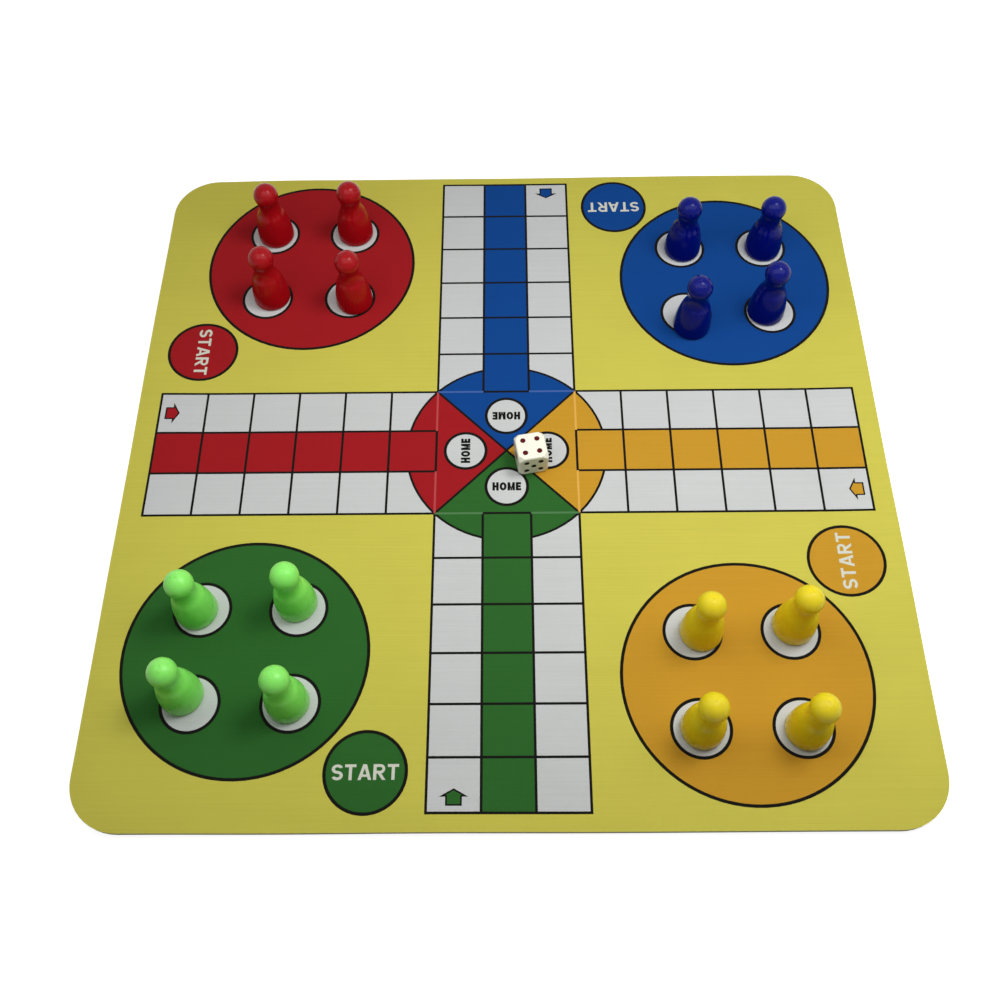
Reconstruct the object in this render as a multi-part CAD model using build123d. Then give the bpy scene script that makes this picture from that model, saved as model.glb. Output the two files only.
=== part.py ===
"""Ludo set: a printed cloth-faced rubber mat, sixteen pawns in four colours and one die.

Millimetres. The origin is at the centre of the mat's underside. +X runs to the right across the
board and +Y away from the green player. +Z is up.
The print has four equal quarters. Each is drawn once, for the green player, whose arm points to -Y
and whose yard lies at -X -Y, and is then turned clockwise for red, blue and orange.
"""

import os
from math import sqrt

from build123d import *

# The mat: knitted cloth laminated on a sheet of rubber
MAT_WIDTH = 254.0
MAT_DEPTH = 248.0
MAT_CORNER_R = 16.0
RUBBER_T = 1.6
CLOTH_T = 0.4
DYE_DEPTH = 0.05  # how far the print soaks into the cloth

# The track: a cross of four arms, each three lanes wide
PRINT_CENTRE = (0.3, 1.0)  # the print is not quite central on the cut mat
LANES = 3
LANE_W = 15.8
CELLS = 6
CELL_L = 16.0
LINE_W = 0.8

# The home disc in the middle, with one white spot for each player
HOME_SPOT_R = 6.9
HOME_SPOT_DISTANCE = 13.8
HOME_SPOT_LINE_W = 1.0

# The yards, the start discs and the entry arrows, as they lie in the green player's quarter
YARD_R = 37.8
YARD_CENTRE = (-80.4, -72.1)
SPOT_R = 8.8
SPOT_OFFSET = 15.1  # from the yard's centre, along X and along Y
START_R = 12.0
START_CENTRE = (-41.6, -107.9)
CIRCLE_LINE_W = 1.0
ARROW_BACK = 2.0  # from the arrow's foot to the arm's outer end
ARROW_BODY_W = 4.8
ARROW_BODY_L = 2.6
ARROW_HEAD_W = 8.4
ARROW_HEAD_L = 2.4
ARROW_LINE_W = 0.5

# A pawn: one moulded piece, turned about its own axis
PAWN_H = 25.6
PAWN_BASE_R = 6.6
PAWN_EDGE_R = 1.0  # the rounding under the widest place
PAWN_DISH_R = 4.6  # the hollow under the foot, so that the pawn stands on its rim
PAWN_DISH_DEPTH = 0.5
PAWN_SHOULDER_R = 4.85
PAWN_SHOULDER_Z = 12.3
PAWN_NECK_R = 3.8
PAWN_NECK_Z = 15.0
PAWN_HEAD_R = 4.4
PAWN_COLLAR_DROP = 1.6  # from the head's centre down to where the neck meets it

# How far each pawn stands from the centre of its spot, in the board's X and Y.
# Pawn 1 is the one nearest the home disc, and the others follow it round the yard.
PAWN_NUDGES = {
    "green": [(-0.7, 2.0), (-1.5, -0.3), (-2.5, 2.7), (-0.6, 0.2)],
    "red": [(1.9, -1.6), (0.4, 0.3), (0.6, -0.2), (1.8, 0.6)],
    "blue": [(1.3, -5.8), (-1.7, 0.1), (0.5, -0.6), (0.8, -0.5)],
    "yellow": [(2.4, -0.1), (0.2, -0.1), (0.7, -0.5), (0.8, 1.7)],
}

# The die, with its four on top, its five to the front and its one to the left
DIE_SIDE = 10.0
DIE_EDGE_R = 0.7
DIE_BALL_R = 7.5  # the sphere that rounds the corners
DIE_CENTRE = (8.1, -4.1)  # from the centre of the print
DIE_TURN = 10.2
PIP_R = 0.95
PIP_DEPTH = 0.4
ONE_PIP_R = 1.7
ONE_PIP_DEPTH = 0.6
PIP_PITCH = 4.7
PAINT_T = 0.1
PAINT_GAP = 0.02  # between the paint and the pip's wall
PAINT_RIM = 0.04  # from the paint's edge up to the die's face

# Sizes that follow from those above
MAT_T = RUBBER_T + CLOTH_T
DYE_Z = MAT_T - DYE_DEPTH
HALF_CROSS = LANES * LANE_W / 2
ARM_L = CELLS * CELL_L
HOME_R = HALF_CROSS * sqrt(2)
PLAYERS = ["green", "red", "blue", "orange"]  # clockwise, as their quarters lie
PAWN_COLOURS = ["green", "red", "blue", "yellow"]  # the orange yard holds the yellow pawns
SPOT_SIDES = [(1, 1), (-1, 1), (-1, -1), (1, -1)]


def quarter(shape, player):
    """Turn a shape of the green player's quarter to another player's."""
    return Rot(0, 0, -90 * PLAYERS.index(player)) * shape


def four(shape):
    """The same shape in all four quarters."""
    return Sketch() + [quarter(shape, player) for player in PLAYERS]


def ring(radius, width):
    """A printed circle line, with its middle at the given radius."""
    return Circle(radius + width / 2) - Circle(radius - width / 2)


def mat_outline():
    """The mat's outline, seen from the centre of the print."""
    return Pos(-PRINT_CENTRE[0], -PRINT_CENTRE[1]) * RectangleRounded(MAT_WIDTH, MAT_DEPTH, MAT_CORNER_R)


def lane(number):
    """One lane of the green arm: 0 is the middle one, -1 and 1 are beside it."""
    return Pos(number * LANE_W, -HALF_CROSS - ARM_L / 2) * Rectangle(LANE_W, ARM_L)


def side_lanes():
    """The two lanes of the green arm that every player walks on."""
    side = (LANES - 1) // 2
    return Sketch() + [lane(n) for n in range(-side, side + 1) if n]


def home_spot():
    """The green player's white spot on the home disc."""
    return Pos(0, -HOME_SPOT_DISTANCE) * Circle(HOME_SPOT_R)


def home_sector():
    """The green quarter of the home disc."""
    corner = HALF_CROSS * 2
    wedge = make_face(Polyline((0, 0), (-corner, -corner), (corner, -corner), close=True))
    return Circle(HOME_R) & wedge


def spot_places():
    """The centres of the four spots in the green yard."""
    return [Pos(YARD_CENTRE[0] + sx * SPOT_OFFSET, YARD_CENTRE[1] + sy * SPOT_OFFSET) for sx, sy in SPOT_SIDES]


def spots():
    """The four white spots in the green yard."""
    return Sketch() + [place * Circle(SPOT_R) for place in spot_places()]


def arrow():
    """The entry arrow on the outer cell of the green arm's left lane, pointing to the middle."""
    foot = ARROW_BACK - HALF_CROSS - ARM_L
    neck = foot + ARROW_BODY_L
    tip = neck + ARROW_HEAD_L
    body, head = ARROW_BODY_W / 2, ARROW_HEAD_W / 2
    outline = Polyline(
        (-body, foot), (-body, neck), (-head, neck), (0, tip), (head, neck), (body, neck), (body, foot), close=True
    )
    return Pos(-LANE_W, 0) * make_face(outline)


def arm_lines():
    """The black lines of the green arm: along the lanes, and across at the end of every cell."""
    along = [
        Pos((n - LANES / 2) * LANE_W, -HALF_CROSS - ARM_L / 2) * Rectangle(LINE_W, ARM_L + LINE_W)
        for n in range(LANES + 1)
    ]
    across = [
        Pos(0, -HALF_CROSS - n * CELL_L) * Rectangle(LANES * LANE_W + LINE_W, LINE_W) for n in range(1, CELLS + 1)
    ]
    inner_end = Pos(0, -HALF_CROSS) * Rectangle(LANE_W + LINE_W, LINE_W)
    return Sketch() + along + across + inner_end


def home_lines():
    """The black lines of the home disc: its ring, broken at the coloured lanes, and its diagonals."""
    round_line = ring(HOME_R, LINE_W) - four(lane(0))
    diagonals = [Rot(0, 0, 45 + 90 * n) * Rectangle(2 * HOME_R, LINE_W) for n in range(2)]
    spot_lines = four(Pos(0, -HOME_SPOT_DISTANCE) * ring(HOME_SPOT_R, HOME_SPOT_LINE_W))
    return round_line + (Sketch() + diagonals - four(home_spot())) + spot_lines


def yard_lines():
    """The black circles of the green yard and start disc, and the arrow's edge."""
    yard_line = Pos(*YARD_CENTRE) * ring(YARD_R, CIRCLE_LINE_W)
    start_line = Pos(*START_CENTRE) * ring(START_R, CIRCLE_LINE_W)
    spot_lines = [place * ring(SPOT_R, CIRCLE_LINE_W) for place in spot_places()]
    arrow_line = arrow() - offset(arrow(), -ARROW_LINE_W)
    return Sketch() + [yard_line, start_line, *spot_lines, arrow_line]


def print_fields():
    """The flat shapes of the print, by colour. They tile the mat with no gap and no overlap."""
    outline = mat_outline()
    black = (four(arm_lines()) + home_lines() + four(yard_lines())) & outline
    arrows = four(arrow())
    white = four(side_lanes()) - Circle(HOME_R) - arrows
    white = (white + four(home_spot()) + four(spots()) - black) & outline
    fields = {"white": white, "black": black}
    yard = Pos(*YARD_CENTRE) * Circle(YARD_R)
    start = Pos(*START_CENTRE) * Circle(START_R)
    for player in PLAYERS:
        green_shape = home_sector() + lane(0) + yard + start + arrow()
        fields[player] = (quarter(green_shape, player) - black - white) & outline
    yellow = outline
    for field in list(fields.values()):
        yellow = yellow - field
    fields["yellow"] = yellow
    return fields


def rubber_base():
    """The rubber sheet under the cloth."""
    return extrude(Pos(*PRINT_CENTRE) * mat_outline(), RUBBER_T)


def cloth_face(fields):
    """The cloth, bare and white up to its top face where nothing is printed."""
    whole = Pos(*PRINT_CENTRE, RUBBER_T) * extrude(mat_outline(), CLOTH_T - DYE_DEPTH)
    return whole + Pos(*PRINT_CENTRE, DYE_Z) * extrude(fields["white"], DYE_DEPTH)


def printed(field):
    """The dyed skin of the cloth in one colour."""
    return Pos(*PRINT_CENTRE, DYE_Z) * extrude(field, DYE_DEPTH)


def pawn():
    """One pawn standing at the origin: a bell-shaped body, a short neck and a ball head."""
    head_z = PAWN_H - PAWN_HEAD_R
    collar = (sqrt(PAWN_HEAD_R**2 - PAWN_COLLAR_DROP**2), head_z - PAWN_COLLAR_DROP)
    cheek = (PAWN_HEAD_R * sqrt(0.5), head_z + PAWN_HEAD_R * sqrt(0.5))
    foot_r = PAWN_BASE_R - PAWN_EDGE_R
    shoulder = (PAWN_SHOULDER_R, PAWN_SHOULDER_Z)
    profile = [
        Polyline((0, PAWN_DISH_DEPTH), (PAWN_DISH_R, PAWN_DISH_DEPTH), (PAWN_DISH_R, 0), (foot_r, 0)),
        TangentArc((foot_r, 0), (PAWN_BASE_R, PAWN_EDGE_R), tangent=(1, 0)),
        TangentArc((PAWN_BASE_R, PAWN_EDGE_R), shoulder, tangent=(0, 1)),
        ThreePointArc(shoulder, (PAWN_NECK_R, PAWN_NECK_Z), collar),
        ThreePointArc(collar, cheek, (0, PAWN_H)),
        Line((0, PAWN_H), (0, PAWN_DISH_DEPTH)),
    ]
    return revolve(Plane.XZ * make_face(Curve() + profile), Axis.Z)


def pawn_places(player):
    """Where a player's four pawns stand, on top of the mat."""
    for place, nudge in zip(spot_places(), PAWN_NUDGES[PAWN_COLOURS[PLAYERS.index(player)]]):
        spot = quarter(place, player).position
        yield Pos(PRINT_CENTRE[0] + spot.X + nudge[0], PRINT_CENTRE[1] + spot.Y + nudge[1], MAT_T)


def pip_pattern(count):
    """Where the pips of one face lie, from its middle."""
    p = PIP_PITCH / 2
    diagonal = [(-p, -p), (p, p)]
    other = [(-p, p), (p, -p)]
    middle = [(0, 0)]
    patterns = {
        1: middle,
        2: diagonal,
        3: diagonal + middle,
        4: diagonal + other,
        5: diagonal + other + middle,
        6: diagonal + other + [(-p, 0), (p, 0)],
    }
    return patterns[count]


def pip_balls(count, inset):
    """The balls that sink one face's pips, made smaller all round by an inset."""
    normals = {4: (0, 0, 1), 3: (0, 0, -1), 5: (0, -1, 0), 2: (0, 1, 0), 1: (-1, 0, 0), 6: (1, 0, 0)}
    radius, depth = (ONE_PIP_R, ONE_PIP_DEPTH) if count == 1 else (PIP_R, PIP_DEPTH)
    ball_r = (radius**2 + depth**2) / (2 * depth)
    normal = Vector(*normals[count])
    face = Plane(origin=normal * (DIE_SIDE / 2 + ball_r - depth), z_dir=normal)
    return [face * Pos(u, v) * Sphere(ball_r - inset) for u, v in pip_pattern(count)]


def die_place():
    """Where the die lies, on top of the mat."""
    x, y = PRINT_CENTRE[0] + DIE_CENTRE[0], PRINT_CENTRE[1] + DIE_CENTRE[1]
    return Pos(x, y, MAT_T + DIE_SIDE / 2) * Rot(0, 0, DIE_TURN)


def die_body():
    """The die: a cube with rounded edges and ball-cut corners, and its pips sunk."""
    cube = fillet(Box(DIE_SIDE, DIE_SIDE, DIE_SIDE).edges(), DIE_EDGE_R)
    blank = cube & Sphere(DIE_BALL_R)
    return die_place() * (blank - [ball for count in range(1, 7) for ball in pip_balls(count, 0)])


def pip_paint(count):
    """The paint in the pips of one face: a thin coat on the wall of each pip."""
    reach = DIE_SIDE - 2 * PAINT_RIM
    coats = []
    for outer, inner in zip(pip_balls(count, PAINT_GAP), pip_balls(count, PAINT_GAP + PAINT_T)):
        coats.append(die_place() * ((outer & Box(reach, reach, reach)) - inner))
    return Compound(children=coats)


def build_parts():
    """Every node of the set, by name."""
    fields = print_fields()
    parts = {"rubber_base": rubber_base(), "cloth_face": cloth_face(fields)}
    for colour in ["yellow", "green", "red", "blue", "orange", "black"]:
        parts[f"print_{colour}"] = printed(fields[colour])
    one_pawn = pawn()
    for player, colour in zip(PLAYERS, PAWN_COLOURS):
        for number, place in enumerate(pawn_places(player), start=1):
            parts[f"{colour}_pawn_{number}"] = place * one_pawn
    parts["die"] = die_body()
    for count in range(1, 7):
        parts[f"pip_paint_{count}"] = pip_paint(count)
    return parts


os.makedirs("parts", exist_ok=True)
for name, shape in build_parts().items():
    export_step(shape, f"parts/{name}.step")
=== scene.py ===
"""Ludo set: the finish of a printed cloth mat, its sixteen pawns and its die.

Everything is in metres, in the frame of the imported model. The origin is at the centre of the mat's
underside, +X runs to the right across the board, +Y away from the green player, and +Z is up.
"""

from __future__ import annotations

import logging
import math
from dataclasses import dataclass, field, replace
from enum import Enum
from typing import Any, Iterable, Iterator, Sequence

import bmesh
import bpy
from mathutils import Matrix, Vector, noise

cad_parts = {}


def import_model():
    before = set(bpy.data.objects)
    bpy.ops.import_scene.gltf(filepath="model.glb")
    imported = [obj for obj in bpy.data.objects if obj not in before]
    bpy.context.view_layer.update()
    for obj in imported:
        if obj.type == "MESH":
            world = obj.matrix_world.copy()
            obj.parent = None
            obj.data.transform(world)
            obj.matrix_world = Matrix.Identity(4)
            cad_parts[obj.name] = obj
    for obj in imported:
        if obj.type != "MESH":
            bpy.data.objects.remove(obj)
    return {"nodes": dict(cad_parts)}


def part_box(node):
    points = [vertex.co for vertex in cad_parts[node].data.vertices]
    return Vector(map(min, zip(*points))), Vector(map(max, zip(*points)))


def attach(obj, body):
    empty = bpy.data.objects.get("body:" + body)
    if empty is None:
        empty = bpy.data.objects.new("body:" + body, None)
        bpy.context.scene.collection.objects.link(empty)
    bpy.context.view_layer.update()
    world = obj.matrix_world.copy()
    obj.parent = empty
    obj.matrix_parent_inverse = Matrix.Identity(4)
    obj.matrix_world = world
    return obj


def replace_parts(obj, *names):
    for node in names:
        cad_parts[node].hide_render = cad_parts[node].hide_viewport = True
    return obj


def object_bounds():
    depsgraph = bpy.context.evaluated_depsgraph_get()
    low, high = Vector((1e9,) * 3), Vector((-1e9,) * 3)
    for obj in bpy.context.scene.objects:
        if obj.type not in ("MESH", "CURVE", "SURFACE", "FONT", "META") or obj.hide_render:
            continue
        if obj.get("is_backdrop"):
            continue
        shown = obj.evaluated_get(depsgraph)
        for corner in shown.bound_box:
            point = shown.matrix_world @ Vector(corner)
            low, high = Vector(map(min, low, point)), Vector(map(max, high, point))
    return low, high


log = logging.getLogger("ludo_set")

Colour = tuple[float, float, float]
Point = tuple[float, float]
Letter = tuple[float, list[list[Point]]]  # its width, and its closed outlines with its holes among them


def srgb(red: int, green: int, blue: int) -> Colour:
    """Turn a colour as a screen shows it into the linear values that a shader takes.

    Args:
        red: The red value, from 0 to 255.
        green: The green value, from 0 to 255.
        blue: The blue value, from 0 to 255.

    Returns:
        The three linear values, from 0 to 1.
    """
    shares = [value / 255 for value in (red, green, blue)]
    return tuple(s / 12.92 if s <= 0.04045 else ((s + 0.055) / 1.055) ** 2.4 for s in shares)


class Player(Enum):
    """A player's quarter of the print, with its number of quarter turns clockwise from the green one."""

    GREEN = 0
    RED = 1
    BLUE = 2
    ORANGE = 3

    @property
    def dye(self) -> str:
        """The name of the quarter's printed colour."""
        return self.name.lower()

    @property
    def plastic(self) -> str:
        """The name of the colour of the pawns that stand in the quarter."""
        return "yellow" if self is Player.ORANGE else self.dye

    @property
    def angle(self) -> float:
        """The quarter's turn about Z from the green one, in radians."""
        return -self.value * math.pi / 2

    def turned(self, place: Point) -> Vector:
        """Turn a point of the green quarter into this quarter.

        Args:
            place: A point in the green quarter, seen from the centre of the print.

        Returns:
            The same point in this quarter.
        """
        return Matrix.Rotation(self.angle, 3, "Z") @ Vector((*place, 0.0))


class Wiring:
    """Adds nodes to a shader or geometry tree and joins them."""

    def __init__(self, tree: bpy.types.NodeTree) -> None:
        """Start with an empty tree."""
        self.tree = tree
        tree.nodes.clear()

    def add(self, kind: str, inputs: dict[Any, Any] | None = None, **settings: Any) -> bpy.types.Node:
        """Add one node.

        Args:
            kind: The node's Blender type.
            inputs: A value or an output socket for each input, by its name or its number.
            **settings: The node's own settings.

        Returns:
            The new node.
        """
        node = self.tree.nodes.new(kind)
        for name, value in settings.items():
            setattr(node, name, value)
        for key, value in (inputs or {}).items():
            if isinstance(value, bpy.types.NodeSocket):
                self.tree.links.new(value, node.inputs[key])
            else:
                node.inputs[key].default_value = value
        return node

    def math(self, operation: str, *values: Any) -> bpy.types.NodeSocket:
        """Add a Math node on one, two or three values, and return its result."""
        return self.add("ShaderNodeMath", dict(enumerate(values)), operation=operation).outputs[0]

    def mix(self, share: Any, first: Any, second: Any, blend: str = "MIX") -> bpy.types.NodeSocket:
        """Mix two colours.

        Args:
            share: How much of the second colour to take.
            first: The colour at a share of 0.
            second: The colour at a share of 1.
            blend: How the second colour goes over the first.

        Returns:
            The mixed colour.
        """
        node = self.add("ShaderNodeMix", {0: share}, data_type="RGBA", blend_type=blend)
        colour_inputs = node.inputs[6:8]
        for socket, value in zip(colour_inputs, (first, second)):
            if isinstance(value, bpy.types.NodeSocket):
                self.tree.links.new(value, socket)
            else:
                socket.default_value = (*value, 1.0)
        return node.outputs[2]

    def noise(self, vector: bpy.types.NodeSocket, size: float, detail: float = 2.0) -> bpy.types.NodeSocket:
        """Add a noise whose blotches are about the given size, in metres, and return its value."""
        inputs = {"Vector": vector, "Scale": 1 / size, "Detail": detail}
        return self.add("ShaderNodeTexNoise", inputs).outputs["Fac"]

    def spread(self, value: bpy.types.NodeSocket, low: float, high: float) -> bpy.types.NodeSocket:
        """Stretch a value from the range 0 to 1 to the range low to high."""
        return self.add("ShaderNodeMapRange", {"Value": value, "To Min": low, "To Max": high}).outputs[0]


def new_material(name: str) -> tuple[bpy.types.Material, Wiring]:
    """Make an empty node material.

    Args:
        name: The material's name.

    Returns:
        The material, and the wiring of its tree.
    """
    material = bpy.data.materials.new(name)
    material.use_nodes = True
    return material, Wiring(material.node_tree)


@dataclass(frozen=True)
class Knit:
    """Fine knitted cloth: columns of V-shaped stitches, white or dyed in one colour, with painted shade
    between the stitches.
    """

    name: str
    colour: Colour
    wale: float = 0.00062
    course: float = 0.00050
    stitch_depth: float = 0.00005
    stitch_relief: float = 0.7
    loop_low: float = 0.35
    # How light the painted shade between the stitches leaves the cloth's colour.
    valley_shade: float = 0.90
    blotch: float = 0.022
    blotch_share: float = 0.035
    streak: float = 0.0007
    streak_length: float = 0.045
    streak_share: float = 0.05
    roughness: float = 0.86
    specular: float = 0.1
    sheen: float = 0.02

    def stitches(self, wires: Wiring, place: bpy.types.NodeSocket) -> bpy.types.NodeSocket:
        """Draw the height of the stitches.

        Args:
            wires: The wiring of the material.
            place: The place on the cloth.

        Returns:
            The height, from 0 between the stitches to 1 on top of them.
        """
        axes = wires.add("ShaderNodeSeparateXYZ", {0: place}).outputs
        column = wires.math("PINGPONG", wires.math("DIVIDE", axes[0], self.wale), 0.5)
        row = wires.math("ADD", wires.math("DIVIDE", axes[1], self.course), column)
        loop = wires.math("SINE", wires.math("MULTIPLY", row, math.tau))
        leg = wires.math("SINE", wires.math("MULTIPLY", column, math.tau))
        rounded = wires.spread(wires.math("MULTIPLY_ADD", loop, 0.5, 0.5), self.loop_low, 1.0)
        return wires.math("MULTIPLY", leg, rounded)

    def material(self) -> bpy.types.Material:
        """Make the cloth's material.

        Returns:
            The material, with its stitches as a bump.
        """
        material, wires = new_material(self.name)
        place = wires.add("ShaderNodeTexCoord").outputs["Object"]
        height = self.stitches(wires, place)
        # Painted shade: the colour darkens between the stitches, where the height is low.
        dark = tuple(self.valley_shade * value for value in self.colour)
        colour = wires.mix(height, dark, self.colour)
        stretch = (self.streak / self.streak_length, 1, 1)
        along = wires.add("ShaderNodeMapping", {"Vector": place, "Scale": stretch}).outputs[0]
        blotches = wires.noise(place, self.blotch)
        streaks = wires.noise(along, self.streak)
        for marks, share in ((blotches, self.blotch_share), (streaks, self.streak_share)):
            colour = wires.mix(1.0, colour, wires.spread(marks, 1 - share, 1 + share), "MULTIPLY")
        inputs = {"Strength": self.stitch_relief, "Distance": self.stitch_depth, "Height": height}
        bump = wires.add("ShaderNodeBump", inputs)
        surface = {
            "Base Color": colour,
            "Roughness": self.roughness,
            "Specular IOR Level": self.specular,
            "Sheen Weight": self.sheen,
            "Normal": bump.outputs[0],
        }
        shader = wires.add("ShaderNodeBsdfPrincipled", surface)
        wires.add("ShaderNodeOutputMaterial", {"Surface": shader.outputs[0]})
        return material


@dataclass(frozen=True)
class Rubber:
    """Foamed rubber with a fine waffle that keeps the mat from sliding."""

    name: str
    colour: Colour
    waffle: float = 0.0014
    waffle_depth: float = 0.00012
    waffle_relief: float = 0.5
    pore: float = 0.0003
    pore_relief: float = 0.6
    # The painted shade and painted light of the pores, lowest and highest, as shares of the rubber's colour.
    pore_shades: Point = (0.86, 1.1)
    roughness: float = 0.78

    def material(self) -> bpy.types.Material:
        """Make the rubber's material.

        Returns:
            The material, with its waffle as a bump.
        """
        material, wires = new_material(self.name)
        place = wires.add("ShaderNodeTexCoord").outputs["Object"]
        axes = wires.add("ShaderNodeSeparateXYZ", {0: place}).outputs
        turn = math.tau / self.waffle
        waves = [wires.math("SINE", wires.math("MULTIPLY", axis, turn)) for axis in axes[:2]]
        waffle = wires.math("MULTIPLY", *waves)
        pores = wires.noise(place, self.pore, detail=3.0)
        height = wires.math("MULTIPLY_ADD", pores, self.pore_relief, waffle)
        # Painted shade and light in the pores: the colour darkens where the pore noise sinks the bump and
        # lightens where it raises it.
        colour = wires.mix(1.0, self.colour, wires.spread(pores, *self.pore_shades), "MULTIPLY")
        inputs = {"Strength": self.waffle_relief, "Distance": self.waffle_depth, "Height": height}
        bump = wires.add("ShaderNodeBump", inputs)
        surface = {"Base Color": colour, "Roughness": self.roughness, "Normal": bump.outputs[0]}
        shader = wires.add("ShaderNodeBsdfPrincipled", surface)
        wires.add("ShaderNodeOutputMaterial", {"Surface": shader.outputs[0]})
        return material


@dataclass(frozen=True)
class Plastic:
    """Moulded plastic: a waxy body colour, faint flow marks and a slightly uneven gloss."""

    name: str
    colour: Colour
    roughness: float = 0.32
    gloss_change: float = 0.04
    specular: float = 0.15
    glow: float = 0.15
    glow_depth: float = 0.0012
    flow: float = 0.004
    flow_depth: float = 0.00003
    flow_relief: float = 0.35
    flow_shade: float = 0.05
    seam: float = 0.00011
    seam_depth: float = 0.00004
    place_attribute: str = ""

    def material(self) -> bpy.types.Material:
        """Make the plastic's material.

        Returns:
            The material, with the mould's seam where it reads the place on the moulding.
        """
        material, wires = new_material(self.name)
        if self.place_attribute:
            place = wires.add("ShaderNodeAttribute", attribute_name=self.place_attribute).outputs["Vector"]
        else:
            place = wires.add("ShaderNodeTexCoord").outputs["Object"]
        flow = wires.noise(place, self.flow, detail=3.0)
        shade = wires.spread(flow, 1 - self.flow_shade, 1 + self.flow_shade)
        colour = wires.mix(1.0, self.colour, shade, "MULTIPLY")
        glossiest, dullest = self.roughness - self.gloss_change, self.roughness + self.gloss_change
        roughness = wires.spread(flow, glossiest, dullest)
        inputs = {"Strength": self.flow_relief, "Distance": self.flow_depth, "Height": flow}
        bump = wires.add("ShaderNodeBump", inputs)
        if self.place_attribute:
            off_seam = wires.math("ABSOLUTE", wires.add("ShaderNodeSeparateXYZ", {0: place}).outputs[1])
            inputs = {"Value": off_seam, "From Max": self.seam, "To Min": 1, "To Max": 0}
            ridge = wires.add("ShaderNodeMapRange", inputs)
            inputs = {"Distance": self.seam_depth, "Height": ridge.outputs[0], "Normal": bump.outputs[0]}
            bump = wires.add("ShaderNodeBump", inputs)
        surface = {
            "Base Color": colour,
            "Roughness": roughness,
            "Specular IOR Level": self.specular,
            "Subsurface Weight": self.glow,
            "Subsurface Radius": (1.0, 1.0, 1.0),
            "Subsurface Scale": self.glow_depth,
            "Normal": bump.outputs[0],
        }
        shader = wires.add("ShaderNodeBsdfPrincipled", surface)
        wires.add("ShaderNodeOutputMaterial", {"Surface": shader.outputs[0]})
        return material


def tree_sockets(tree: bpy.types.NodeTree, inputs: dict[str, str]) -> dict[str, str]:
    """Give a geometry tree its inputs and its one output.

    Args:
        tree: The new tree.
        inputs: The socket type of each named input.

    Returns:
        The identifier of each named input.
    """
    made = {
        name: tree.interface.new_socket(name, in_out="INPUT", socket_type=kind).identifier
        for name, kind in {"Geometry": "NodeSocketGeometry", **inputs}.items()
    }
    tree.interface.new_socket("Geometry", in_out="OUTPUT", socket_type="NodeSocketGeometry")
    return made


def new_piece(name: str, mesh: bpy.types.Mesh) -> bpy.types.Object:
    """Put a mesh into the scene as an object at the origin.

    Args:
        name: The object's name.
        mesh: Its mesh.

    Returns:
        The object.
    """
    piece = bpy.data.objects.new(name, mesh)
    bpy.context.scene.collection.objects.link(piece)
    return piece


def grown(
    name: str, seed: bpy.types.Mesh, tree: bpy.types.NodeTree, inputs: dict[str, Any]
) -> bpy.types.Object:
    """Run a geometry tree on a mesh, and keep the result as a plain mesh.

    Args:
        name: The name of the new piece.
        seed: The mesh that the tree starts from.
        tree: The geometry tree.
        inputs: The value of each input, by its identifier.

    Returns:
        The new piece, with no modifier on it.
    """
    host = new_piece(f"{name}_seed", seed)
    modifier = host.modifiers.new("growth", "NODES")
    modifier.node_group = tree
    for identifier, value in inputs.items():
        modifier[identifier] = value
    graph = bpy.context.evaluated_depsgraph_get()
    shown = host.evaluated_get(graph)
    mesh = bpy.data.meshes.new_from_object(shown, preserve_all_data_layers=True, depsgraph=graph)
    mesh.name = name
    bpy.data.objects.remove(host)
    log.info("%s: %d faces", name, len(mesh.polygons))
    return new_piece(name, mesh)


@dataclass(frozen=True)
class Relief:
    """How the mat lies: flat, with a rim that lifts a little in long waves."""

    half_width: float
    half_depth: float
    rim: float = 0.030
    lift: float = 0.0009
    wave: float = 0.052
    lifted_share: float = 0.35

    def height(self, x: float, y: float) -> float:
        """Work out how far the mat is lifted off the table.

        Args:
            x: The point's place across the mat.
            y: The point's place along the mat.

        Returns:
            The lift at the point, which falls smoothly to nothing inside the rim.
        """
        inward = min(self.half_width - abs(x), self.half_depth - abs(y))
        share = min(max(1 - inward / self.rim, 0.0), 1.0)
        wave = noise.noise(Vector((x, y, 0.0)) / self.wave)
        return self.lift * share * share * (3 - 2 * share) * max(wave + self.lifted_share, 0.0)

    def lay(self, mesh: bpy.types.Mesh) -> None:
        """Lift a mesh with the mat."""
        for vertex in mesh.vertices:
            vertex.co.z += self.height(vertex.co.x, vertex.co.y)


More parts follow.
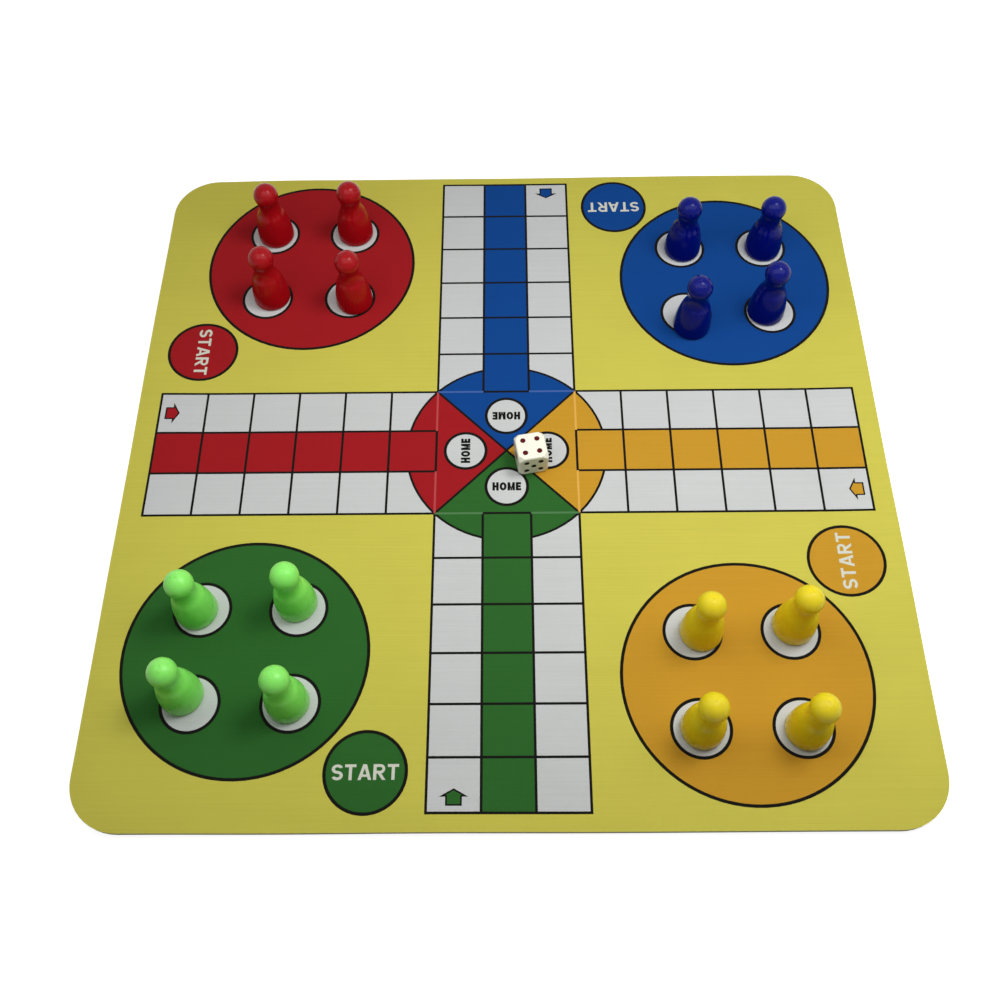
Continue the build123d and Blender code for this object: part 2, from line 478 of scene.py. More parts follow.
@dataclass(frozen=True)
class BlockLetters:
    """Plain heavy capitals, one unit tall and deep; the leg share widens the R's slanting leg."""

    stem: float
    bar: float
    gap: float = 0.11
    steps: int = 14
    depth: float = 1.0
    leg_share: float = 1.08

    @property
    def waist(self) -> tuple[float, float]:
        """The lower and the upper edge of a bar at half height."""
        return 0.5 - self.bar / 2, 0.5 + self.bar / 2

    @staticmethod
    def mirrored(wide: float, left: list[Point], middle: Sequence[Point] = ()) -> list[Point]:
        """Close an outline with its middle points, and then with the mirror image of its left half."""
        return [*left, *middle, *((wide - x, y) for x, y in reversed(left))]

    def bow(self, centre: Point, radii: Point, start: float, end: float) -> list[Point]:
        """Draw a stretch of an ellipse, between two angles in degrees."""
        angles = [math.radians(start + (end - start) * step / self.steps) for step in range(self.steps + 1)]
        return [(centre[0] + radii[0] * math.cos(a), centre[1] + radii[1] * math.sin(a)) for a in angles]

    def letter_h(self, wide: float = 0.78) -> Letter:
        """Draw an H.

        Args:
            wide: The letter's width.

        Returns:
            The letter.
        """
        low, high = self.waist
        left = [(self.stem, high), (self.stem, 1), (0, 1), (0, 0), (self.stem, 0), (self.stem, low)]
        return wide, [self.mirrored(wide, left)]

    def letter_o(self, wide: float = 0.88) -> Letter:
        """Draw an O.

        Args:
            wide: The letter's width.

        Returns:
            The letter.
        """
        middle = (wide / 2, 0.5)
        rings = [middle, (wide / 2 - self.stem, 0.5 - self.bar)]
        return wide, [self.bow(middle, radii, 0, 360)[:-1] for radii in rings]

    def letter_m(
        self, wide: float = 0.92, top: float = 0.30, dip: float = 0.34, point: float = 0.14
    ) -> Letter:
        """Draw an M.

        Args:
            wide: The letter's width.
            top: How wide each leg is at the top.
            dip: The height of the dip between the legs.
            point: How wide the point in the middle is.

        Returns:
            The letter.
        """
        slope = (1 - dip) / (wide / 2 - top)
        armpit = slope * (wide / 2 - point / 2 - self.stem)
        left = [(wide / 2 - point / 2, 0), (self.stem, armpit), (self.stem, 0), (0, 0), (0, 1), (top, 1)]
        return wide, [self.mirrored(wide, left, [(wide / 2, dip)])]

    def letter_e(self, wide: float = 0.66, middle_share: float = 0.93) -> Letter:
        """Draw an E.

        Args:
            wide: The letter's width.
            middle_share: How far the middle bar reaches, against the others.

        Returns:
            The letter.
        """
        low, high = self.waist
        short = wide * middle_share
        lower = [(wide, 0), (wide, self.bar), (self.stem, self.bar)]
        middle = [(self.stem, low), (short, low), (short, high), (self.stem, high)]
        upper = [(self.stem, 1 - self.bar), (wide, 1 - self.bar), (wide, 1)]
        return wide, [[(0, 0), *lower, *middle, *upper, (0, 1)]]

    def letter_t(self, wide: float = 0.72) -> Letter:
        """Draw a T.

        Args:
            wide: The letter's width.

        Returns:
            The letter.
        """
        edge = (wide - self.stem) / 2
        return wide, [self.mirrored(wide, [(edge, 0), (edge, 1 - self.bar), (0, 1 - self.bar), (0, 1)])]

    def letter_a(
        self, wide: float = 0.88, top: float = 0.12, bar_low: float = 0.20, bar_share: float = 0.85
    ) -> Letter:
        """Draw an A.

        Args:
            wide: The letter's width.
            top: Half the width of the flat top.
            bar_low: The height of the bar's lower edge.
            bar_share: How thick the bar is, against the other letters' bars.

        Returns:
            The letter.
        """
        lean = wide / 2 - top
        bar_high = bar_low + self.bar * bar_share
        inner_low = self.stem + bar_low * lean
        inner_high = self.stem + bar_high * lean
        left = [(inner_low, bar_low), (self.stem, 0), (0, 0), (lean, 1)]
        peak = (wide / 2, (wide / 2 - self.stem) / lean)
        hole = [(inner_high, bar_high), peak, (wide - inner_high, bar_high)]
        return wide, [self.mirrored(wide, left), hole]

    def letter_r(
        self, wide: float = 0.80, bowl_low: float = 0.40, bowl_in: float = 0.05, knee: float = 0.30
    ) -> Letter:
        """Draw an R.

        Args:
            wide: The letter's width.
            bowl_low: The height of the bowl's lower edge.
            bowl_in: How far the bowl stays inside the leg's foot.
            knee: Where the leg leaves the bowl.

        Returns:
            The letter.
        """
        reach = (1 - bowl_low) / 2
        leg = self.stem * self.leg_share
        centre = (wide - bowl_in - reach, (1 + bowl_low) / 2)
        foot = [(0, 0), (self.stem, 0), (self.stem, bowl_low), (knee, bowl_low), (wide - leg, 0), (wide, 0)]
        bowl = self.bow(centre, (reach, reach), -90, 90)
        hole = self.bow(centre, (reach - self.bar, reach - self.bar), -90, 90)
        first, last = (self.stem, bowl_low + self.bar), (self.stem, 1 - self.bar)
        return wide, [[*foot, (knee + leg, bowl_low), *bowl, (0, 1)], [first, *hole, last]]

    def letter_s(self, wide: float = 0.74, mouth: float = 22) -> Letter:
        """Draw an S.

        Args:
            wide: The letter's width.
            mouth: The angle at which the upper end stops, in degrees.

        Returns:
            The letter.
        """
        rise = (1 - self.bar) / 4
        across = (wide - self.stem) / 2
        sides = []
        for side in (0.5, -0.5):
            wider, taller = side * self.stem, side * self.bar
            upper = self.bow((wide / 2, 0.5 + rise), (across + wider, rise + taller), mouth, 270)
            lower = self.bow((wide / 2, 0.5 - rise), (across - wider, rise - taller), 90, mouth - 180)
            sides.append(upper + lower[1:])
        return wide, [sides[0] + sides[1][::-1]]

    def word(self, text: str) -> bpy.types.Curve:
        """Set a word as a flat curve with filled outlines.

        Args:
            text: The word.

        Returns:
            The curve, which starts at the origin.
        """
        curve = bpy.data.curves.new(text, "CURVE")
        curve.dimensions = "2D"
        curve.fill_mode = "BOTH"
        curve.extrude = self.depth / 2
        start = 0.0
        for letter in text.lower():
            wide, outlines = getattr(self, f"letter_{letter}")()
            for outline in outlines:
                spline = curve.splines.new("POLY")
                spline.points.add(len(outline) - 1)
                for point, (x, y) in zip(spline.points, outline):
                    point.co = (start + x, y, 0.0, 1.0)
                spline.use_cyclic_u = True
            start += wide + self.gap
        return curve


@dataclass
class Word:
    """A word printed on the mat, four times over."""

    text: str
    face: BlockLetters
    finish: Knit
    slot: str
    width: float
    cap_height: float
    distance: Point
    turns: dict[Player, float]
    thickness: float
    weld: float = 1e-5

    def letters(self) -> bpy.types.Mesh:
        """Make the word once.

        Returns:
            The word as closed letters, upright, with its middle at the origin.
        """
        holder = bpy.data.objects.new(self.text, self.face.word(self.text))
        mesh = bpy.data.meshes.new_from_object(holder)
        bpy.data.objects.remove(holder)
        work = bmesh.new()
        work.from_mesh(mesh)
        bmesh.ops.remove_doubles(work, verts=work.verts, dist=self.weld)
        bmesh.ops.recalc_face_normals(work, faces=work.faces)
        work.to_mesh(mesh)
        work.free()
        columns = list(zip(*(vertex.co for vertex in mesh.vertices)))
        spans = [(min(column), max(column)) for column in columns]
        middle = Vector([(low + high) / 2 for low, high in spans])
        sizes = (self.width, self.cap_height, self.thickness)
        scale = Matrix.Diagonal([size / (high - low) for size, (low, high) in zip(sizes, spans)])
        mesh.transform(scale.to_4x4() @ Matrix.Translation(-middle))
        return mesh


class WordTree:
    """The geometry tree that prints a word at each point of a mesh, turned by the point's own angle."""

    turn_attribute = "turn"

    def __init__(self) -> None:
        """Build the tree."""
        self.tree = bpy.data.node_groups.new("printed_words", "GeometryNodeTree")
        self.inputs = tree_sockets(self.tree, {"Word": "NodeSocketObject", "Dye": "NodeSocketMaterial"})
        wires = Wiring(self.tree)
        given = wires.add("NodeGroupInput").outputs
        word = wires.add("GeometryNodeObjectInfo", {"Object": given["Word"]})
        turn = wires.add("GeometryNodeInputNamedAttribute", {"Name": self.turn_attribute}, data_type="FLOAT")
        angle = wires.add("ShaderNodeCombineXYZ", {"Z": turn.outputs[0]})
        placed = wires.add(
            "GeometryNodeInstanceOnPoints",
            {
                "Points": given["Geometry"],
                "Instance": word.outputs["Geometry"],
                "Rotation": angle.outputs[0],
            },
        )
        real = wires.add("GeometryNodeRealizeInstances", {0: placed.outputs[0]})
        dyed = wires.add("GeometryNodeSetMaterial", {"Geometry": real.outputs[0], "Material": given["Dye"]})
        wires.add("NodeGroupOutput", {0: dyed.outputs[0]})

    def print(self, name: str, word: Word, places: dict[Player, Vector]) -> bpy.types.Object:
        """Print a word once for each player.

        Args:
            name: The name of the piece.
            word: The word.
            places: The middle of the word for each player.

        Returns:
            The printed words as one piece.
        """
        seed = bpy.data.meshes.new(name)
        seed.from_pydata([tuple(place) for place in places.values()], [], [])
        turns = seed.attributes.new(self.turn_attribute, "FLOAT", "POINT")
        turns.data.foreach_set("value", [word.turns[player] for player in places])
        stamp = new_piece(f"{name}_stamp", word.letters())
        inputs = {self.inputs["Word"]: stamp, self.inputs["Dye"]: word.finish.material()}
        piece = grown(name, seed, self.tree, inputs)
        bpy.data.objects.remove(stamp)
        return piece


@dataclass
class Mat:
    """The mat: a rubber sheet, the knitted cloth on it, the dyes printed in the cloth, and its words."""

    nodes: dict[str, bpy.types.Object]
    body: str = "mat"
    cut_pitch: float = 0.004
    weld: float = 1e-7
    lane: float = 0.0158
    lanes: int = 3
    home_spot_distance: float = 0.0138
    start_centre: Point = (-0.0416, -0.1079)
    pale_line: float = 0.0007
    pale_gain: float = 1.2
    pale_lift: float = 0.055
    above: float = 0.000015
    print_depth: float = 0.00005
    white: Colour = srgb(208, 210, 209)
    cream: Colour = srgb(218, 220, 204)
    black: Colour = srgb(16, 15, 12)
    rubber: Colour = srgb(150, 146, 108)
    dyes: dict[str, Colour] = field(
        default_factory=lambda: {
            "yellow": srgb(210, 202, 84),
            "green": srgb(46, 103, 42),
            "red": srgb(164, 26, 32),
            "blue": srgb(12, 70, 144),
            "orange": srgb(204, 152, 44),
        }
    )

    def __post_init__(self) -> None:
        """Read the mat's own size and the middle of its print from the frame."""
        low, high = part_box("cloth_face")
        self.flat = (high.x - low.x, high.y - low.y)
        self.top = high.z
        self.relief = Relief(high.x, high.y)
        self.middle = sum(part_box("print_black"), Vector()) / 2
        self.middle.z = 0.0

    def laid_copy(self, node: str, name: str) -> bpy.types.Object:
        """Copy a layer of the mat, and let it lie as the mat does.

        Args:
            node: The layer's node.
            name: The name of the new piece.

        Returns:
            The layer as a finely divided closed mesh.
        """
        mesh = self.nodes[node].data.copy()
        mesh.name = name
        work = bmesh.new()
        work.from_mesh(mesh)
        bmesh.ops.remove_doubles(work, verts=work.verts, dist=self.weld)
        for axis, half in enumerate((self.relief.half_width, self.relief.half_depth)):
            normal = Vector([float(axis == number) for number in range(3)])
            steps = int(half / self.cut_pitch)
            for step in range(-steps, steps + 1):
                everything = [*work.verts, *work.edges, *work.faces]
                place = normal * step * self.cut_pitch
                bmesh.ops.bisect_plane(work, geom=everything, plane_co=place, plane_no=normal)
        work.to_mesh(mesh)
        work.free()
        self.relief.lay(mesh)
        mesh.materials.clear()
        return new_piece(name, mesh)

    def finish(self, piece: bpy.types.Object, material: bpy.types.Material, slot: str) -> bpy.types.Object:
        """Give a piece its material, and let it ride on the mat.

        Args:
            piece: The piece.
            material: Its material.
            slot: Not used.

        Returns:
            The same piece.
        """
        piece.data.materials.clear()
        piece.data.materials.append(material)
        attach(piece, self.body)
        log.info("%s: %d faces", piece.name, len(piece.data.polygons))
        return piece

    def layers(self) -> list[bpy.types.Object]:
        """Make the rubber sheet and the white cloth.

        Returns:
            The sheet and the cloth.
        """
        rubber = self.laid_copy("rubber_base", "rubber_sheet")
        self.finish(rubber, Rubber("gum_rubber", self.rubber).material(), "rubber")
        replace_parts(rubber, "rubber_base")
        cloth = self.laid_copy("cloth_face", "knitted_cloth")
        self.finish(cloth, Knit("white_knit", self.white).material(), "cloth")
        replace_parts(cloth, "cloth_face")
        return [rubber, cloth]

    def prints(self) -> Iterator[bpy.types.Object]:
        """Make the printed fields of the cloth.

        Yields:
            One piece for each dye.
        """
        for dye, colour in {**self.dyes, "black": self.black}.items():
            piece = self.laid_copy(f"print_{dye}", f"{dye}_print")
            self.finish(piece, Knit(f"{dye}_knit", colour).material(), f"dye_{dye}")
            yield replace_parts(piece, f"print_{dye}")

    def words(self) -> Iterator[bpy.types.Object]:
        """Print the words on the home spots and on the start discs.

        Yields:
            One piece for each word, with its four copies.
        """
        quarter = math.pi / 2
        home = Word(
            text="HOME",
            face=BlockLetters(stem=0.31, bar=0.265),
            finish=Knit("black_letters", self.black),
            slot="dye_black",
            width=0.0095,
            cap_height=0.0031,
            distance=(0.0, -self.home_spot_distance),
            turns={Player.GREEN: 0.0, Player.RED: quarter, Player.BLUE: 2 * quarter, Player.ORANGE: quarter},
            thickness=self.print_depth,
        )
        start = Word(
            text="START",
            face=BlockLetters(stem=0.205, bar=0.18),
            finish=Knit("cream_letters", self.cream),
            slot="cloth",
            width=0.0196,
            cap_height=0.0046,
            distance=self.start_centre,
            turns={player: player.angle for player in Player},
            thickness=self.print_depth,
        )
        tree = WordTree()
        for name, word in {"home_words": home, "start_words": start}.items():
            places = {player: self.middle + player.turned(word.distance) for player in Player}
            for place in places.values():
                place.z = self.top + self.above - word.thickness / 2
            piece = tree.print(name, word, places)
            self.relief.lay(piece.data)
            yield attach(piece, self.body)

    def pale_lines(self, player: Player) -> bpy.types.Object:
        """Print the pale lines beside a player's coloured lane, on the side of the middle square.

        Args:
            player: The player.

        Returns:
            Both lines as one piece.
        """
        out = self.lane * self.lanes / 2
        length = out - self.lane / 2
        size = Matrix.Diagonal((length, self.pale_line, self.print_depth, 1.0))
        name = f"{player.dye}_pale_lines"
        work = bmesh.new()
        for side in (-1, 1):
            centre = self.middle + player.turned((side * (out - length / 2), -out))
            centre.z = self.top + self.above - self.print_depth / 2
            place = Matrix.Translation(centre) @ Matrix.Rotation(player.angle, 4, "Z")
            bmesh.ops.create_cube(work, matrix=place @ size)
        mesh = bpy.data.meshes.new(name)
        work.to_mesh(mesh)
        work.free()
        dye = self.dyes[player.dye]
        pale = tuple(min(value * self.pale_gain + self.pale_lift, 1.0) for value in dye)
        piece = new_piece(name, mesh)
        return self.finish(piece, Knit(f"pale_{player.dye}_knit", pale).material(), f"dye_{player.dye}")

    def build(self) -> None:
        """Make the whole mat."""
        rubber, cloth = self.layers()
        on_cloth = [*self.prints(), *self.words(), *(self.pale_lines(player) for player in Player)]


class Outline:
    """The outline of a turned piece, from its axis at the foot round to its axis at the top."""

    def __init__(self, start: Point) -> None:
        """Start the outline at a point: its distance from the axis and its height."""
        self.points = [start]

    def line(self, end: Point) -> None:
        """Run straight to a point."""
        self.points.append(end)

    def arc(self, middle: Point, end: Point, steps: int) -> None:
        """Run on an arc through one point to another.

        Args:
            middle: A point on the arc.
            end: The arc's end.
            steps: The number of points to add.
        """
        (ax, ay), (bx, by), (cx, cy) = self.points[-1], middle, end
        twice = 2 * (ax * (by - cy) + bx * (cy - ay) + cx * (ay - by))
        squares = [ax * ax + ay * ay, bx * bx + by * by, cx * cx + cy * cy]
        x = (squares[0] * (by - cy) + squares[1] * (cy - ay) + squares[2] * (ay - by)) / twice
        y = (squares[0] * (cx - bx) + squares[1] * (ax - cx) + squares[2] * (bx - ax)) / twice
        radius = math.hypot(ax - x, ay - y)
        first, last = math.atan2(ay - y, ax - x), math.atan2(cy - y, cx - x)
        sweep = (last - first) % math.tau
        if (math.atan2(by - y, bx - x) - first) % math.tau > sweep:
            sweep -= math.tau
        for step in range(1, steps + 1):
            angle = first + sweep * step / steps
            self.points.append((x + radius * math.cos(angle), y + radius * math.sin(angle)))

    def mesh(self, name: str) -> bpy.types.Mesh:
        """Make the outline a string of points in the XZ plane.

        Args:
            name: The name of the mesh.

        Returns:
            The mesh, which has no edges.
        """
        mesh = bpy.data.meshes.new(name)
        mesh.from_pydata([(max(r, 0.0), 0.0, z) for r, z in self.points], [], [])
        return mesh


class TurningTree:
    """The geometry tree that turns an outline about Z, as a closed shell."""

    place_attribute = "mould_place"
    weld = 1e-6

    def __init__(self) -> None:
        """Build the tree."""
        self.tree = bpy.data.node_groups.new("turned_piece", "GeometryNodeTree")
        self.inputs = tree_sockets(
            self.tree,
            {
                "Segments": "NodeSocketInt",
                "Place": "NodeSocketVector",
                "Turn": "NodeSocketFloat",
                "Sharp Angle": "NodeSocketFloat",
                "Plastic": "NodeSocketMaterial",
            },
        )
        wires = Wiring(self.tree)
        given = wires.add("NodeGroupInput").outputs
        local, angle = self.shape(wires, given)
        rings = wires.add("GeometryNodeAttributeDomainSize", {0: given["Geometry"]}).outputs["Point Count"]
        columns = wires.math("ADD", given["Segments"], 1)
        grid = wires.add("GeometryNodeMeshGrid", {"Vertices X": rings, "Vertices Y": columns})
        marked = wires.add(
            "GeometryNodeStoreNamedAttribute",
            {"Geometry": grid.outputs["Mesh"], "Name": self.place_attribute, "Value": local},
            data_type="FLOAT_VECTOR",
            domain="POINT",
        )
        inputs = {"Vector": local, "Angle": given["Turn"]}
        turned = wires.add("ShaderNodeVectorRotate", inputs, rotation_type="Z_AXIS").outputs[0]
        inputs = {0: turned, 1: given["Place"]}
        placed = wires.add("ShaderNodeVectorMath", inputs, operation="ADD").outputs[0]
        inputs = {"Geometry": marked.outputs[0], "Position": placed}
        shell = wires.add("GeometryNodeSetPosition", inputs).outputs[0]
        inputs = {"Geometry": shell, "Distance": self.weld}
        closed = wires.add("GeometryNodeMergeByDistance", inputs)
        smooth = wires.add("GeometryNodeSetShadeSmooth", {"Geometry": closed.outputs[0]}, domain="FACE")
        bend = wires.add("GeometryNodeInputMeshEdgeAngle").outputs["Unsigned Angle"]
        sharp = wires.math("GREATER_THAN", bend, given["Sharp Angle"])
        creased = wires.add(
            "GeometryNodeSetShadeSmooth",
            {"Geometry": smooth.outputs[0], "Selection": sharp, "Shade Smooth": False},
            domain="EDGE",
        )
        real = wires.add("GeometryNodeRealizeInstances", {0: creased.outputs[0]})
        inputs = {"Geometry": real.outputs[0], "Material": given["Plastic"]}
        finished = wires.add("GeometryNodeSetMaterial", inputs)
        wires.add("NodeGroupOutput", {0: finished.outputs[0]})

    @staticmethod
    def shape(wires: Wiring, given: Any) -> tuple[bpy.types.NodeSocket, bpy.types.NodeSocket]:
        """Work out where each point of a grid goes: its row picks an outline's point, its column an angle.

        Args:
            wires: The wiring of the tree.
            given: The tree's inputs.

        Returns:
            The place on the turned piece, about its own axis, and the angle there.
        """
        columns = wires.math("ADD", given["Segments"], 1)
        index = wires.add("GeometryNodeInputIndex").outputs[0]
        row = wires.math("FLOOR", wires.math("DIVIDE", wires.math("ADD", index, 0.5), columns))
        column = wires.math("SUBTRACT", index, wires.math("MULTIPLY", row, columns))
        point = wires.add(
            "GeometryNodeSampleIndex",
            {
                "Geometry": given["Geometry"],
                "Value": wires.add("GeometryNodeInputPosition").outputs[0],
                "Index": row,
            },
            data_type="FLOAT_VECTOR",
        )
        outline = wires.add("ShaderNodeSeparateXYZ", {0: point.outputs[0]}).outputs
        angle = wires.math("MULTIPLY", wires.math("DIVIDE", column, given["Segments"]), math.tau)
        across = [wires.math("MULTIPLY", outline[0], wires.math(name, angle)) for name in ("COSINE", "SINE")]
        place = wires.add("ShaderNodeCombineXYZ", {0: across[0], 1: across[1], 2: outline[2]})
        return place.outputs[0], angle


@dataclass
class Pawns:
    """The sixteen pawns: one turned mould, with the gate's mark on its head, in four colours."""

    height: float = 0.0256
    base_r: float = 0.0066
    edge_r: float = 0.0010
    dish_r: float = 0.0046
    dish_depth: float = 0.0005
    shoulder_r: float = 0.00485
    shoulder_z: float = 0.0123
    neck_r: float = 0.0038
    neck_z: float = 0.0150
    head_r: float = 0.0044
    collar_drop: float = 0.0016
    gate_r: float = 0.0007
    gate_floor_r: float = 0.00056
    gate_stub_r: float = 0.00021
    gate_depth: float = 0.00012
    gate_stub_depth: float = 0.000048
    edge_steps: int = 6
    flank_steps: int = 18
    neck_steps: int = 12
    head_steps: int = 22
    segments: int = 96
    sharp_angle: float = math.radians(38)
    number: int = 4
    turn_step: float = math.radians(137.5)
    finishes: dict[str, Plastic] = field(
        default_factory=lambda: {
            "green": Plastic(
                name="green_plastic",
                colour=srgb(144, 246, 108),
                roughness=0.28,
                specular=0.3,
                glow=0.7,
                glow_depth=0.005,
            ),
            "red": Plastic("red_plastic", srgb(168, 12, 22), roughness=0.21, specular=0.14),
            "blue": Plastic("blue_plastic", srgb(2, 14, 118), roughness=0.18, specular=0.13),
            "yellow": Plastic(
                name="yellow_plastic",
                colour=srgb(231, 210, 26),
                roughness=0.27,
                specular=0.2,
                glow=0.9,
                glow_depth=0.005,
            ),
        }
    )

    def outline(self) -> Outline:
        """Draw the pawn's outline.

        Returns:
            The outline, from the hollow under the foot to the gate's mark on the head.
        """
        head_z = self.height - self.head_r
        foot_r = self.base_r - self.edge_r
        collar = (math.sqrt(self.head_r**2 - self.collar_drop**2), head_z - self.collar_drop)
        gate_z = head_z + math.sqrt(self.head_r**2 - self.gate_r**2)
        drawn = Outline((0.0, self.dish_depth))
        for end in [(self.dish_r, self.dish_depth), (self.dish_r, 0.0), (foot_r, 0.0)]:
            drawn.line(end)
        inset = self.edge_r * math.sqrt(0.5)
        edge_middle = (foot_r + inset, self.edge_r - inset)
        drawn.arc(edge_middle, (self.base_r, self.edge_r), self.edge_steps)
        drawn.arc(self.flank_middle(), (self.shoulder_r, self.shoulder_z), self.flank_steps)
        drawn.arc((self.neck_r, self.neck_z), collar, self.neck_steps)
        cheek = self.head_r * math.sqrt(0.5)
        drawn.arc((cheek, head_z + cheek), (self.gate_r, gate_z), self.head_steps)
        drawn.line((self.gate_floor_r, gate_z - self.gate_depth))
        drawn.line((self.gate_stub_r, gate_z - self.gate_depth))
        drawn.line((0.0, gate_z - self.gate_stub_depth))
        return drawn

    def flank_middle(self) -> Point:
        """Find the middle of the arc that leaves the foot upright and ends at the shoulder.

        Returns:
            The distance of the arc's middle from the axis, and its height.
        """
        rise, inward = self.shoulder_z - self.edge_r, self.base_r - self.shoulder_r
        radius = (rise**2 + inward**2) / (2 * inward)
        half = math.asin(rise / radius) / 2
        return self.base_r - radius * (1 - math.cos(half)), self.edge_r + radius * math.sin(half)

    def build(self) -> None:
        """Make every pawn where its node stands, and let it ride on its own body."""
        tree = TurningTree()
        outline = self.outline()
        count = 0
        for player in Player:
            colour = player.plastic
            material = replace(self.finishes[colour], place_attribute=tree.place_attribute).material()
            for number in range(1, self.number + 1):
                node = f"{colour}_pawn_{number}"
                low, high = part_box(node)
                inputs = {
                    "Segments": self.segments,
                    "Place": ((low.x + high.x) / 2, (low.y + high.y) / 2, low.z),
                    "Turn": count * self.turn_step,
                    "Sharp Angle": self.sharp_angle,
                    "Plastic": material,
                }
                name = f"moulded_{node}"
                values = {tree.inputs[key]: value for key, value in inputs.items()}
                piece = grown(name, outline.mesh(name), tree.tree, values)
                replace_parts(piece, node)
                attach(piece, node)
                count += 1


@dataclass
class Die:
    """The die and the paint in its pips, which keep the shapes of their nodes."""

    nodes: dict[str, bpy.types.Object]
    plastic: Plastic = Plastic(
        "die_plastic", srgb(246, 244, 226), roughness=0.24, gloss_change=0.03, specular=0.25, glow=0.0
    )
    red: Plastic = Plastic("red_pip_paint", srgb(84, 2, 12), roughness=0.6, glow=0.0, flow=0.0006)
    black: Plastic = Plastic("black_pip_paint", srgb(18, 18, 16), roughness=0.6, glow=0.0, flow=0.0006)
    faces: int = 6
    red_faces: Sequence[int] = (1, 4)

    def build(self) -> None:
        """Dress the die and its pips."""
        self.dress("die", self.plastic.material())
        paints = {True: self.red.material(), False: self.black.material()}
        for face in range(1, self.faces + 1):
            self.dress(f"pip_paint_{face}", paints[face in self.red_faces])

    def dress(self, node: str, material: bpy.types.Material) -> None:
        """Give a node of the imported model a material.

        Args:
            node: The node's name.
            material: The material.
        """
        mesh = self.nodes[node].data
        mesh.materials.clear()
        mesh.materials.append(material)
        log.info("%s: dressed", node)


@dataclass(frozen=True)
class Lamp:
    """A soft studio lamp: a glowing rectangle, or a glowing disc where it has a single size."""

    name: str
    place: tuple[float, float, float]
    target: tuple[float, float, float]
    sizes: tuple[float, ...]
    power: float

    def hang(self) -> None:
        """Hang the lamp, out of the camera's sight."""
        data = bpy.data.lights.new(self.name, "AREA")
        data.shape = "RECTANGLE" if len(self.sizes) == 2 else "DISK"
        data.size = self.sizes[0]
        data.size_y = self.sizes[-1]
        data.energy = self.power
        lamp = bpy.data.objects.new(self.name, data)
        lamp.location = self.place
        aim = Vector(self.target) - Vector(self.place)
        lamp.rotation_euler = aim.to_track_quat("-Z", "Y").to_euler()
        lamp.visible_camera = False
        bpy.context.scene.collection.objects.link(lamp)


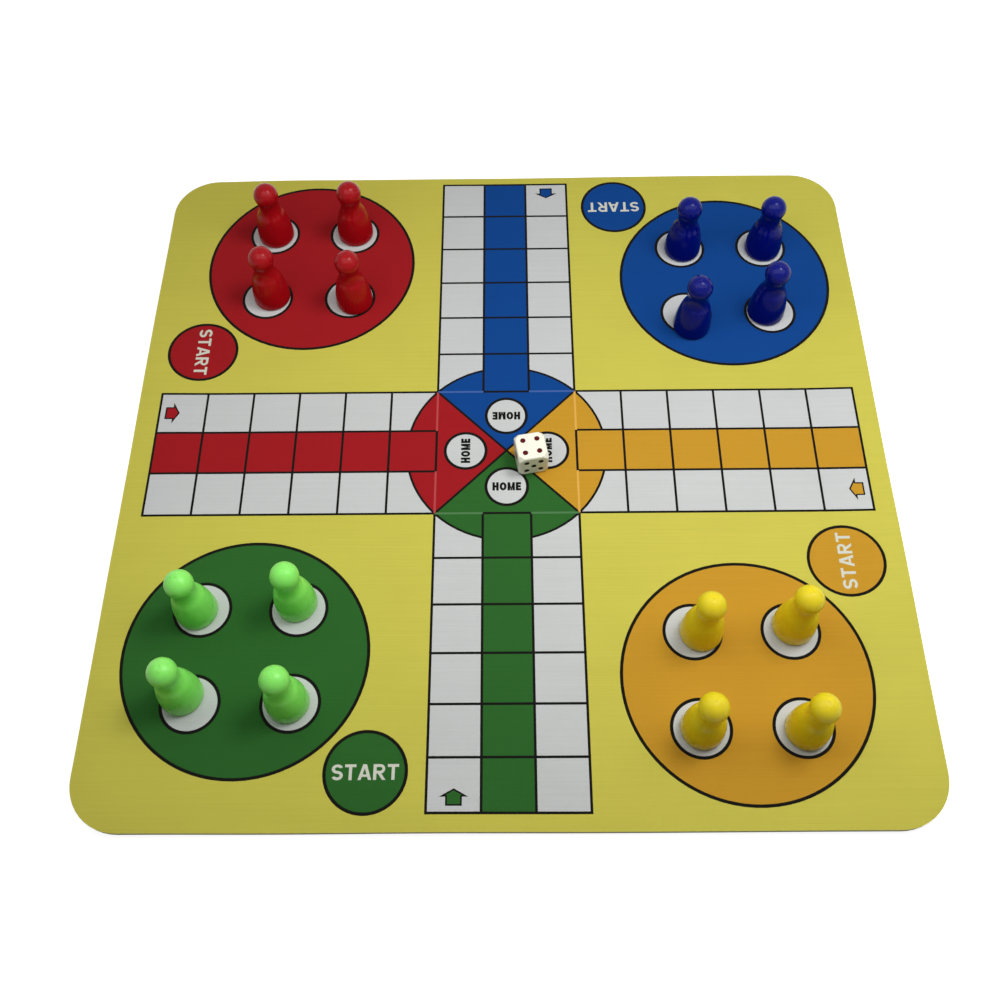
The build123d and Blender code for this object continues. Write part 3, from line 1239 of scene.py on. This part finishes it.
@dataclass
class Studio:
    """The pale floor, the soft light and the camera."""

    camera_place: tuple[float, float, float] = (0.001203, -0.180219, 0.310525)
    camera_turn: tuple[float, float, float] = (27.74974, 0.51872, -0.43375)
    lens: float = 38.134
    sensor: float = 36.0
    nearest: float = 0.01
    floor_side: float = 6.0
    floor_z: float = -0.00004
    floor_white: float = 0.45
    floor_lift: float = 0.90
    sky: float = 0.12
    lamps: Sequence[Lamp] = (
        Lamp("strip_lamp", (0.06, -0.01, 0.20), (0.06, -0.01, 0.0), (0.5, 0.16), 0.50),
        Lamp("round_lamp", (0.20, 0.06, 0.50), (0.0, 0.0, 0.0), (0.16,), 0.88),
    )

    def camera(self) -> None:
        """Set up the camera where the photograph was taken from."""
        data = bpy.data.cameras.new("camera")
        data.lens = self.lens
        data.sensor_width = self.sensor
        data.clip_start = self.nearest
        camera = bpy.data.objects.new("camera", data)
        camera.rotation_mode = "ZYX"
        camera.rotation_euler = [math.radians(angle) for angle in self.camera_turn]
        camera.location = self.camera_place
        bpy.context.scene.collection.objects.link(camera)
        bpy.context.scene.camera = camera

    @staticmethod
    def seen(wires: Wiring) -> bpy.types.NodeSocket:
        """Tell rays from the camera, also through gloss and glass, from the rays that light the set.

        Args:
            wires: The wiring of the material or of the sky.

        Returns:
            1 for what the camera sees, and 0 for what lights the set.
        """
        path = wires.add("ShaderNodeLightPath").outputs
        mirrored = wires.math("MAXIMUM", path["Is Glossy Ray"], path["Is Transmission Ray"])
        return wires.math("MAXIMUM", path["Is Camera Ray"], mirrored)

    def floor(self) -> None:
        """Lay a white floor that still takes the mat's soft shadow."""
        material, wires = new_material("pale_floor")
        grey = (self.floor_white,) * 3
        paint = wires.add("ShaderNodeBsdfDiffuse", {"Color": (*grey, 1.0)})
        strength = wires.math("MULTIPLY", self.seen(wires), self.floor_lift)
        lift = wires.add("ShaderNodeEmission", {"Strength": strength})
        both = wires.add("ShaderNodeAddShader", {0: paint.outputs[0], 1: lift.outputs[0]})
        wires.add("ShaderNodeOutputMaterial", {"Surface": both.outputs[0]})
        work = bmesh.new()
        place = Matrix.Translation((0, 0, self.floor_z))
        bmesh.ops.create_grid(work, size=self.floor_side / 2, matrix=place)
        mesh = bpy.data.meshes.new("floor")
        work.to_mesh(mesh)
        work.free()
        mesh.materials.append(material)
        new_piece("floor", mesh)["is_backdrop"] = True

    def sky_light(self) -> None:
        """Light the set with a pale sky that looks white to the camera."""
        world = bpy.data.worlds.new("sky")
        world.use_nodes = True
        bpy.context.scene.world = world
        wires = Wiring(world.node_tree)
        strength = wires.spread(self.seen(wires), self.sky, 1.0)
        sky = wires.add("ShaderNodeBackground", {"Color": (1.0, 1.0, 1.0, 1.0), "Strength": strength})
        wires.add("ShaderNodeOutputWorld", {"Surface": sky.outputs[0]})

    def build(self) -> None:
        """Set up the whole studio."""
        bpy.context.scene.view_settings.view_transform = "Standard"
        self.camera()
        self.floor()
        self.sky_light()
        for lamp in self.lamps:
            lamp.hang()


def write_sizes(boxes: dict[str, Iterable[Vector]]) -> None:
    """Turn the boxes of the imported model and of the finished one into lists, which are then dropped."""
    {name: [list(corner) for corner in box] for name, box in boxes.items()}


def main() -> None:
    """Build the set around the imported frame."""
    logging.basicConfig(level=logging.INFO, format="%(name)s %(message)s")
    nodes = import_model()["nodes"]
    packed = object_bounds()
    Studio().build()
    Mat(nodes).build()
    Pawns().build()
    Die(nodes).build()
    write_sizes({"packed": packed, "finished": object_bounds()})


if __name__ == "__main__":
    main()
